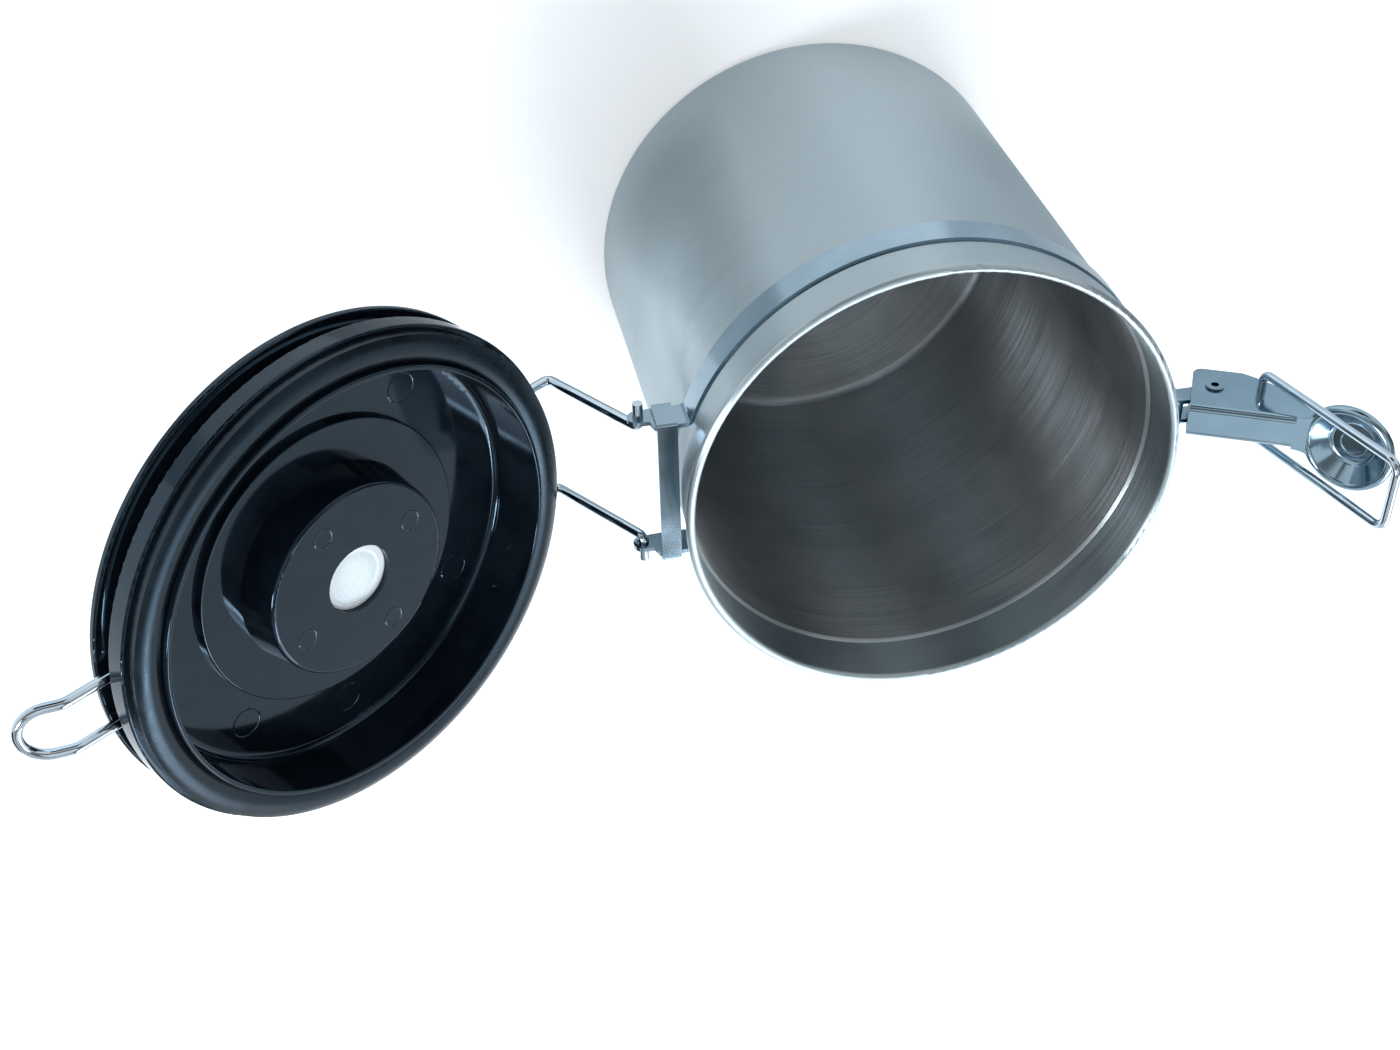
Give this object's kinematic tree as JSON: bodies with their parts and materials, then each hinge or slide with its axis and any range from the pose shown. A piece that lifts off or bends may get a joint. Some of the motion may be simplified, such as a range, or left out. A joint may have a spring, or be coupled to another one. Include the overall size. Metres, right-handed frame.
{
  "type": "coffee canister with valve",
  "caption": "Round steel coffee canister with a hinged black clip-top lid, sealing ring, one-way gas valve and wire latch.",
  "frame": {"origin": "centre of the can's underside", "axes": "+Z along the can's axis, out of the mouth; the hinge is at -X and the latch at +X"},
  "size_m": [0.3162, 0.1208, 0.1629],
  "materials": {
    "steel": "brushed stainless steel",
    "chrome": "polished steel sheet",
    "wire": "bright drawn wire",
    "lid": "glossy moulded",
    "rubber": "satin",
    "valve": "moulded",
    "filter": "felted",
    "silicone": "soft"
  },
  "bodies": {
    "canister": {"canister_body": "steel", "neck_band_left": "chrome", "neck_band_right": "chrome", "hinge_clip": "chrome", "latch_clip": "chrome", "latch_rivet": "chrome"},
    "lid": {"lid_shell": "lid", "lid_gasket": "rubber", "lid_bail": "wire", "valve_body": "valve", "valve_filter": "filter", "valve_cap": "valve", "vent_cover": "lid"},
    "lever": {"latch_lever": "chrome"},
    "loop": {"latch_loop": "wire"},
    "flap": {"valve_flap": "silicone"}
  },
  "joints": [
    {"name": "lid_hinge", "type": "hinge", "parent": "canister", "child": "lid", "pos_m": [-0.0673, 0, 0.1061], "axis": [0, -1, 0], "range_deg": [-144.7, 52]},
    {"name": "lever_pivot", "type": "hinge", "parent": "canister", "child": "lever", "pos_m": [0.0775, 0, 0.1061], "axis": [0, -1, 0], "range_deg": [-128.2, 1.5]},
    {"name": "loop_pivot", "type": "hinge", "parent": "lever", "child": "loop", "pos_m": [0.08799, 0, 0.11015], "axis": [0, -1, 0], "range_deg": [-2.01, 154.78]},
    {"name": "flap_lift", "type": "slide", "parent": "lid", "child": "flap", "axis": [-0.5779, 0, -0.8161], "range_m": [0, 0.0008], "stiffness_N_per_m": 20, "springref_m": -0.0002}
  ],
  "couplings": [
    {"joint": "loop_pivot", "follows": "lever_pivot", "ratio": -1.2058}
  ]
}
